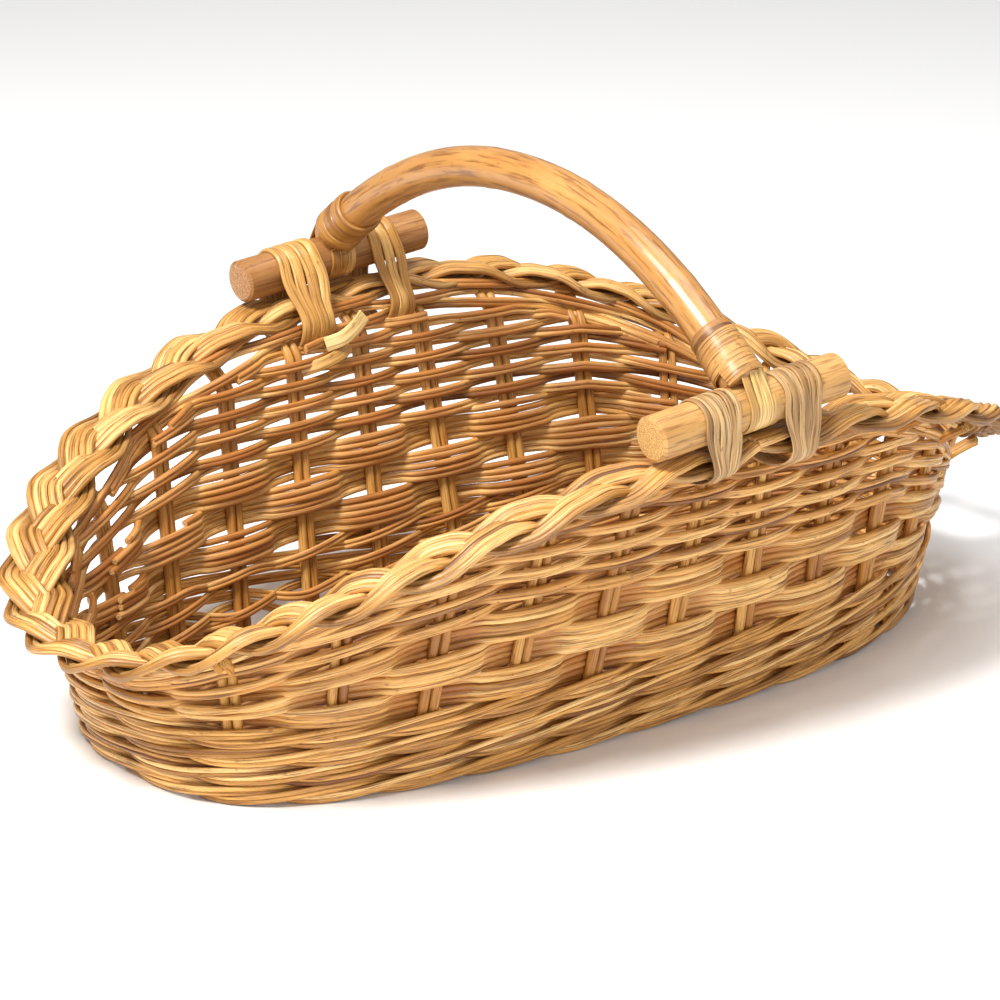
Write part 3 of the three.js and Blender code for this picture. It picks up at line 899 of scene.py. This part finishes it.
def make_rand(material):
    bundle = Bundle(31)
    count = int((STAKE_COUNT + 1) * STEPS_PER_STATION)
    travelled = np.arange(count) / STEPS_PER_STATION
    add_level_rows(bundle, travelled)
    add_rim_rows(bundle, travelled)
    add_loose_ends(bundle)
    bundle.make("rand", material, [
        "rand_course_1", "rand_course_2_front", "rand_course_2_back",
        "rand_course_3_front", "rand_course_3_back"])


def make_stake(stake, material):
    """Two rods side by side, which go up inside the wall and bend out into the border."""
    bundle = Bundle(100 + stake)
    angle = station_angle(np.array([float(stake)]))
    top = float(wall_height(angle)[0]) - STAKE_BEND_DROP
    heights = np.linspace(STAKE_FOOT_Z, top, STAKE_WALL_STEPS)
    upright = on_wall(np.full(STAKE_WALL_STEPS, float(stake)), heights, np.zeros(STAKE_WALL_STEPS))
    flat = level_outward(lambda a: wall_point(a, np.array([top])), angle)[0]
    outward = np.array([flat[0], flat[1], 0])
    along = np.array([-flat[1], flat[0], 0])
    bend = np.linspace(0, 1, STAKE_ARM_STEPS + 1)[1:, None]
    arm = upright[-1] + outward * STAKE_ARM_OUT * bend ** 1.25 + UP * STAKE_ARM_UP * bend ** 0.9
    path = np.concatenate([upright, arm])
    for side in (-1, 1):
        shift = side * STAKE_SPACING / 2 + bundle.noise(len(path), 12, 0.12)
        bundle.rod(path + along * shift[:, None], circle(STAKE_RADIUS, 12), outward, 0.12)
    bundle.make(f"stake_pair_{stake + 1}", material, [f"stake_{stake + 1}"])


# ---- the woven base ----


def add_base_sticks(bundle, outline):
    """Sticks across the basket. The outline is its +Y side's, from the pointed end."""
    count = 40
    first = outline[-1, 0] + BASE_STICK_FIRST
    last = outline[0, 0] - BASE_STICK_LAST
    for x in np.arange(first, last, BASE_STICK_PITCH):
        reach = np.interp(-x, -outline[:, 0], outline[:, 1])
        y = np.linspace(-reach, reach, count)
        centres = np.stack([x + bundle.noise(count, 12, 0.5), y, np.full(count, BASE_MIDDLE_Z)], -1)
        bundle.rod(centres, circle(BASE_STICK_RADIUS), UP, 0.3)


def add_base_weavers(bundle, outline):
    """Rods along the basket, over and under the sticks."""
    first_stick = outline[-1, 0] + BASE_STICK_FIRST
    widest = int(outline[:, 1].argmax())
    pointed_half = outline[:widest + 1]
    blunt_half = outline[widest:][::-1]
    rows = int(outline[widest, 1] / BASE_WEAVER_PITCH)
    for row in range(-rows, rows + 1):
        y = row * BASE_WEAVER_PITCH
        high = np.interp(abs(y), pointed_half[:, 1], pointed_half[:, 0])
        low = np.interp(abs(y), blunt_half[:, 1], blunt_half[:, 0])
        count = max(int((high - low) / BASE_WEAVER_STEP), 4)
        x = np.linspace(low, high, count)
        over = np.cos(math.pi * ((x - first_stick) / BASE_STICK_PITCH + row % 2))
        z = np.maximum(BASE_MIDDLE_Z + BASE_WEAVER_LIFT * over, BASE_WEAVER_RADIUS + 0.25)
        centres = np.stack([x, y + bundle.noise(count, 14, 0.25), z], -1)
        bundle.rod(centres, circle(BASE_WEAVER_RADIUS, 8), UP, 0.25)


def add_base_rings(bundle):
    count = 320
    angles = np.linspace(-math.pi, math.pi, count)
    for share, z in BASE_RINGS:
        ring = np.concatenate([oblong(BASE, angles) * share, np.full((count, 1), z)], -1)
        bundle.rod(ring, circle(BASE_STICK_RADIUS), UP, 0.2)


def make_base(material):
    bundle = Bundle(61)
    outline = oblong(BASE, np.linspace(0, math.pi, 400)) * BASE_MARGIN
    add_base_sticks(bundle, outline)
    add_base_weavers(bundle, outline)
    add_base_rings(bundle)
    bundle.make("woven_base", material, ["base_panel"])


# ---- the plaited border ----


def rim_frame(share):
    """Points along the rim with its outward direction and the direction square to both."""
    angle = rim_angle(share)
    outward = level_outward(lambda a: oblong(RIM, a), angle)
    outward = np.concatenate([outward, np.zeros((len(share), 1))], -1)
    points = np.concatenate([oblong(RIM, angle), rim_height(angle)[:, None]], -1)
    tangent = unit(np.gradient(points, axis=0))
    normal = unit(np.cross(outward, tangent))
    normal *= np.sign(normal[:, 2:])
    return points, outward, normal


def bell(x, middle, length):
    """1 at a place, falling smoothly to nothing about twice that length away."""
    return np.exp(-((x - middle) / length) ** 2)


def plait_lift(swing):
    """Over the other strands for a quarter of a wave, then under them for a quarter."""
    lifted = -PLAIT_LIFT * np.clip(2.4 * np.sin(2 * swing), -1, 1)
    smoothing = 4
    kernel = np.ones(2 * smoothing + 1) / (2 * smoothing + 1)
    return np.convolve(np.pad(lifted, smoothing, "edge"), kernel, "valid")


def make_border_strand(strand, material):
    bundle = Bundle(41 + strand)
    count = PLAIT_WAVES * PLAIT_STEPS + 1
    share = PLAIT_START + np.arange(count) / (count - 1)
    crowded = PLAIT_CROWDING * np.sin(4 * math.pi * share) / (4 * math.pi)
    swing = 2 * math.pi * (PLAIT_WAVES * (share + crowded) + strand / PLAIT_STRANDS)
    points, outward, normal = rim_frame(share)
    x = points[:, 0]
    held = PLAIT_SQUEEZE * bell(x, DOWEL_X, PLAIT_SQUEEZE_LENGTH)
    tip = PLAIT_TIP_SQUEEZE * bell(x, RIM["pointed_length"], PLAIT_TIP_LENGTH)
    narrow = (1 - held) * (1 - tip)
    sideways = PLAIT_SWAY * narrow * np.sin(swing)
    sideways = sideways + PLAIT_BLUNT_OUT * bell(x, -RIM["blunt_length"], PLAIT_BLUNT_LENGTH)
    lifted = plait_lift(swing)
    middle = points + outward * sideways[:, None] + normal * lifted[:, None]
    across = unit(np.cross(unit(np.gradient(middle, axis=0)), normal))
    # Painted shade: a strand is darker where it dips under the other strands.
    shade = 0.45 * smoothstep((0.6 - lifted / PLAIT_LIFT) / 1.6)
    for rod in range(PLAIT_RODS):
        lane = rod - (PLAIT_RODS - 1) / 2
        shift = lane * PLAIT_ROD_SPACING * narrow * (0.98 + bundle.noise(count, 25, 0.03))
        sag = -PLAIT_ROD_SAG * lane * lane + bundle.noise(count, 18, 0.18)
        centres = middle + across * shift[:, None] + normal * sag[:, None]
        bundle.rod(centres, circle(PLAIT_ROD_RADIUS), normal, shade)
    bundle.make(f"border_{strand + 1}", material, [f"border_strand_{strand + 1}"])


# ---- dowels and handle ----


def make_dowel(label, side, material):
    bundle = Bundle(71 + side)
    count = 60
    crown = 0.16 * DOWEL_RADIUS
    half = DOWEL_LENGTH / 2 - crown
    along = np.linspace(-half, half, count) * math.cos(DOWEL_TILT)
    y = np.full(count, side * DOWEL_Y)
    centres = np.stack([DOWEL_X + along, y, DOWEL_Z + along * math.tan(DOWEL_TILT)], -1)
    size = 1 + bundle.noise(count, 20, 0.004)
    bundle.sweep(centres, circle(DOWEL_RADIUS, 56), UP, size, 0.5)
    bundle.make(f"{label}_grip_dowel", material, [f"dowel_{label}"])


def arch_point(share):
    """The handle's middle line. Share -1 is its front foot, and 1 its back foot."""
    rise = (HANDLE_TOP_Z - HANDLE_FOOT_Z) * (1 - np.abs(share) ** HANDLE_POWER)
    x = np.full(len(share), float(DOWEL_X))
    return np.stack([x, share * HANDLE_HALF_SPAN, HANDLE_FOOT_Z + rise], -1)


def make_handle(material):
    bundle = Bundle(81)
    centres = arch_point(np.linspace(-1.0, 1.0, HANDLE_STEPS))
    size = 1 + bundle.noise(HANDLE_STEPS, 40, 0.008)
    for node in HANDLE_NODES:
        size += HANDLE_NODE_SWELL * bell(np.arange(HANDLE_STEPS), node, 2.2)
    bundle.sweep(centres, circle(HANDLE_RADIUS, 48), ALONG_BASKET, size, 0.55)
    bundle.make("bent_pole", material, ["handle_pole"])


# ---- cane ----


def support(shape, theta):
    """How far an upright ellipse reaches in each direction, and the points where it does."""
    centre_y, centre_z, half_y, half_z = shape
    reach = np.sqrt((half_y * np.cos(theta)) ** 2 + (half_z * np.sin(theta)) ** 2)
    y = centre_y + half_y ** 2 * np.cos(theta) / reach
    z = centre_z + half_z ** 2 * np.sin(theta) / reach
    return y * np.cos(theta) + z * np.sin(theta), np.stack([y, z], -1)


def tight_loop(shapes, count):
    """The path of a band pulled tight around ellipses in the y, z plane, and its normals."""
    bottom = -1.57
    theta = bottom + np.linspace(0, 2 * math.pi, 361)
    reaches, points = zip(*[support(shape, theta) for shape in shapes])
    outermost = np.argmax(np.stack(reaches), axis=0)
    path = np.stack(points)[outermost, np.arange(len(theta))]
    lengths = running_length(path)
    even = np.linspace(0, lengths[-1], count)
    path = np.stack([np.interp(even, lengths, path[:, i]) for i in (0, 1)], -1)
    along = unit(np.gradient(path, axis=0))
    return path, np.stack([along[:, 1], -along[:, 0]], -1)


def add_lashing_strip(bundle, side, strip, top_x, middle_x, width, thickness, converge, grip):
    """One turn of cane, measured from the middle of the dowel."""
    rise = top_x * math.tan(DOWEL_TILT)
    border_z = float(rim_height_at(DOWEL_X + top_x)) - DOWEL_Z
    border_y = RIM["half_width"] - DOWEL_Y - LASHING_INSET
    lift = 0.5 + 0.32 * (strip % 3)
    dowel = (0, rise, DOWEL_RADIUS + 0.5, DOWEL_RADIUS + 0.5)
    border = (border_y, border_z - grip / 2, LASHING_HALF_DEPTH + lift,
              LASHING_HALF_HEIGHT + grip / 2 + lift)
    path, normal = tight_loop([dowel, border], LASHING_STEPS)
    drop = smoothstep((rise + 2 - path[:, 1]) / (rise + 8 - border_z))
    ripple = 0.5 * np.sin(path[:, 1] * 0.3 + strip)
    x = top_x + (middle_x - top_x) * converge * drop + ripple
    y = side * (DOWEL_Y + path[:, 0])
    centres = np.stack([DOWEL_X + x, y, DOWEL_Z + path[:, 1]], -1)
    normals = np.stack([np.zeros(LASHING_STEPS), side * normal[:, 0], normal[:, 1]], -1)
    bundle.strip(centres, width, thickness, normals, 1 - 0.3 * converge * drop)


def make_lashing(name, node, side, material, from_x, to_x, strips, converge, thickness, grip, seed):
    """Turns of flat cane around the dowel and the border, drawn together under the border."""
    bundle = Bundle(seed)
    pitch = (to_x - from_x) / strips
    middle_x = (from_x + to_x) / 2
    for strip in range(strips):
        top_x = from_x + (strip + 0.5) * pitch + bundle.rng.uniform(-0.15, 0.15)
        add_lashing_strip(bundle, side, strip, top_x, middle_x, pitch * 0.92, thickness, converge, grip)
    bundle.make(name, material, [node])


def make_tail(name, node, material, places, width):
    """A short loose end of cane through the given (x, y, z) places."""
    bundle = Bundle(350)
    knots = np.array(places, float)
    part = np.linspace(0, len(knots) - 1, 30)
    centres = np.stack([np.interp(part, np.arange(len(knots)), knots[:, i]) for i in range(3)], -1)
    centres = softened(centres, 12)
    bundle.sweep(centres, strip_section(width, TAIL_THICKNESS), FACING_FRONT, 1.0, 0.9)
    bundle.make(name, material, [node])


def wrap_pole(bundle, side, thickness, first, last, turns, start, width, lift):
    """A strip of cane wound round the handle pole."""
    count = int(turns * 44)
    part = np.linspace(0, 1, count)
    centres = arch_point(side * first + (side * last - side * first) * part)
    square = np.cross(unit(np.gradient(centres, axis=0)), ALONG_BASKET)
    turn = (start + 2 * math.pi * turns * part)[:, None]
    radial = ALONG_BASKET * np.cos(turn) + square * np.sin(turn)
    bundle.strip(centres + radial * (HANDLE_RADIUS + lift), width, thickness, radial)


def make_foot_wrap(label, side, material, bands, thickness):
    bundle = Bundle(310 + side)
    for band in bands:
        wrap_pole(bundle, side, thickness, **band)
    bundle.make(f"{label}_foot_wrap", material, [f"handle_sleeve_{label}"])


def left_normal(path):
    """The direction square to a flat path, on its left."""
    along = unit(np.gradient(path, axis=0))
    return np.stack([-along[:, 1], along[:, 0]], -1)


def loop_path(dx):
    """In the y, z plane: down outside the handle's foot, under the dowel and up inside."""
    clear = math.sqrt(max(HANDLE_RADIUS ** 2 - dx ** 2, 4)) + 0.5
    foot = arch_point(np.linspace(LOOP_TOP_SHARE, LOOP_FOOT_SHARE, 16))[:, 1:]
    outward = left_normal(foot)
    outer = foot + outward * clear
    inner = (foot - outward * clear)[::-1]
    turn = np.linspace(LOOP_TURN_START, LOOP_TURN_END, 44)
    radius = DOWEL_RADIUS + 0.55
    rise = dx * math.tan(DOWEL_TILT)
    around = np.stack([DOWEL_Y + radius * np.cos(turn), DOWEL_Z + rise + radius * np.sin(turn)], -1)
    return softened(np.concatenate([outer, around, inner]), 3)


def make_loop(label, side, material, places, width):
    """Flat strips that hold a handle foot to its dowel."""
    bundle = Bundle(330 + side)
    for dx in places:
        path = loop_path(dx)
        normal = left_normal(path)
        x = np.full(len(path), DOWEL_X + dx)
        centres = np.stack([x, side * path[:, 0], path[:, 1]], -1)
        normals = np.stack([np.zeros(len(path)), side * normal[:, 0], normal[:, 1]], -1)
        bundle.strip(centres, width, LOOP_THICKNESS, normals)
    bundle.make(f"{label}_loop", material, [f"cane_loop_{label}"])


# ---- the whole basket ----


def make_wall():
    make_wale(wale_wicker())
    slew = slew_wicker()
    for course in range(SLEW_COURSES):
        make_slew(course, slew)
    make_rand(rand_wicker())
    stake_skin = stake_wicker()
    for stake in range(STAKE_COUNT):
        make_stake(stake, stake_skin)


def make_border():
    border = border_wicker()
    for strand in range(PLAIT_STRANDS):
        make_border_strand(strand, border)


def make_cane():
    grey = grey_cane()
    pale = pale_cane()
    gold = gold_cane()
    make_loop("front", -1, pale, FRONT_LOOP_PLACES, FRONT_LOOP_WIDTH)
    make_loop("back", 1, gold, BACK_LOOP_PLACES, BACK_LOOP_WIDTH)
    make_foot_wrap("front", -1, orange_cane(), FRONT_FOOT_BANDS, FRONT_FOOT_THICKNESS)
    make_foot_wrap("back", 1, gold, BACK_FOOT_BANDS, BACK_FOOT_THICKNESS)
    make_lashing("front_lashing_left", "lashing_front_1", -1, grey, **FRONT_LEFT_LASHING)
    make_lashing("front_lashing_right", "lashing_front_2", -1, grey, **FRONT_RIGHT_LASHING)
    make_lashing("back_lashing_left", "lashing_back_1", 1, gold, **BACK_LEFT_LASHING)
    make_tail("back_tail_upper", "lashing_back_1", pale, BACK_TAIL_UPPER, 6.5)
    make_tail("back_tail_lower", "lashing_back_1", gold, BACK_TAIL_LOWER, 5.5)
    make_lashing("back_lashing_right", "lashing_back_2", 1, gold, **BACK_RIGHT_LASHING)


make_camera()
make_studio()
make_floor()
make_base(base_wicker())
make_wall()
make_border()
make_dowel("front", -1, front_dowel_wood())
make_dowel("back", 1, back_dowel_wood())
make_handle(handle_pole_skin())
make_cane()
